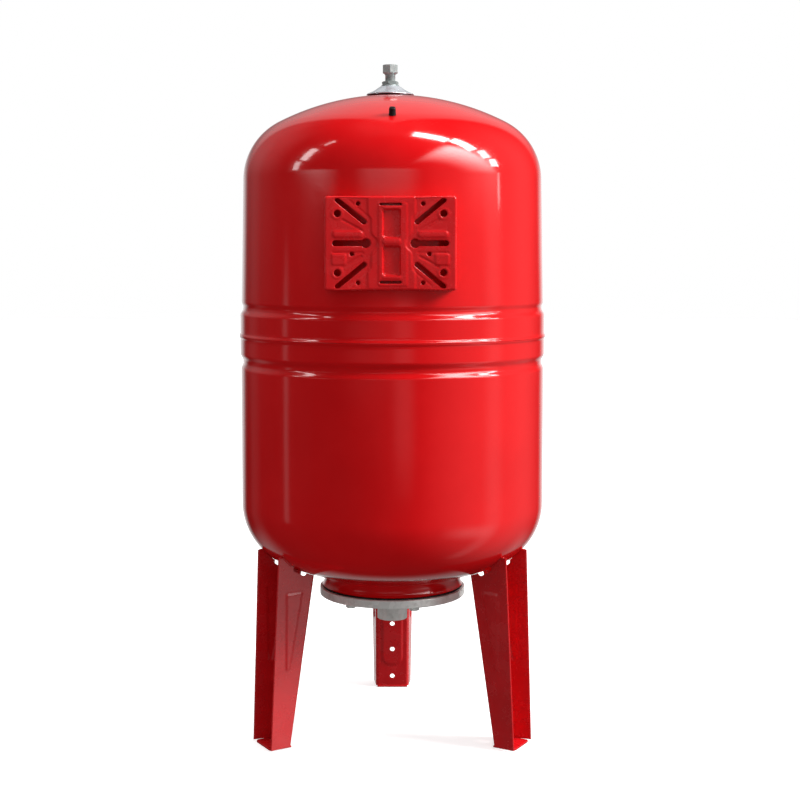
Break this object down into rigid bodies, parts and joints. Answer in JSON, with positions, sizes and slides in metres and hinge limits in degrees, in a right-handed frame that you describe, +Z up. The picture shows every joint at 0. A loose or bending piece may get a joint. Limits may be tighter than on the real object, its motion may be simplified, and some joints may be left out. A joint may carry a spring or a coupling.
{
  "type": "expansion vessel",
  "caption": "Upright expansion vessel on pressed legs, with a rubber bag, a bolted bottom flange, a top plug, an air valve and a mounting plate.",
  "frame": {"origin": "on the floor, under the vessel's axis", "axes": "+Z up along the vessel's axis; the mounting plate and the air valve face -Y; +X is to the right seen from the front"},
  "size_m": [0.4552, 0.46, 0.9925],
  "materials": {
    "red_enamel": "gloss",
    "red_sheet": "semi-gloss",
    "zinc_steel": "galvanised",
    "dark_steel": "zinc plated",
    "bright_steel": "polished",
    "brass": "machined",
    "rubber": "matt",
    "black_plastic": "satin"
  },
  "bodies": {
    "vessel": {"upper_shell": "red_enamel", "lower_shell": "red_enamel", "neck_ring": "red_enamel", "counter_flange": "zinc_steel", "water_connection": "zinc_steel", "membrane": "rubber", "flange_stud_1": "dark_steel", "flange_washer_1": "dark_steel", "flange_nut_1": "dark_steel", "flange_stud_2": "dark_steel", "flange_washer_2": "dark_steel", "flange_nut_2": "dark_steel", "flange_stud_3": "dark_steel", "flange_washer_3": "dark_steel", "flange_nut_3": "dark_steel", "flange_stud_4": "dark_steel", "flange_washer_4": "dark_steel", "flange_nut_4": "dark_steel", "flange_stud_5": "dark_steel", "flange_washer_5": "dark_steel", "flange_nut_5": "dark_steel", "flange_stud_6": "dark_steel", "flange_washer_6": "dark_steel", "flange_nut_6": "dark_steel", "membrane_hanger": "dark_steel", "top_gasket": "rubber", "top_cone": "bright_steel", "cone_spacer": "dark_steel", "jam_nut": "dark_steel", "valve_body": "brass", "valve_core": "brass", "valve_spring": "bright_steel", "leg_rear": "red_sheet", "leg_front_left": "red_sheet", "leg_front_right": "red_sheet", "mounting_plate": "red_sheet"},
    "dust_cap": {"dust_cap": "black_plastic"},
    "valve_pin": {"valve_pin": "bright_steel"},
    "top_plug": {"top_plug": "dark_steel"}
  },
  "joints": [
    {"name": "dust_cap_lift", "type": "slide", "parent": "vessel", "child": "dust_cap", "axis": [0, -0.5132, 0.8583], "range_m": [0, 0.03]},
    {"name": "valve_pin_press", "type": "slide", "parent": "vessel", "child": "valve_pin", "axis": [0, 0.5132, -0.8583], "range_m": [0, 0.0015], "stiffness_N_per_m": 400, "springref_m": -0.002, "deforming": ["valve_spring"]},
    {"name": "top_plug_lift", "type": "slide", "parent": "vessel", "child": "top_plug", "axis": [0, 0, 1], "range_m": [0, 0.03]}
  ]
}
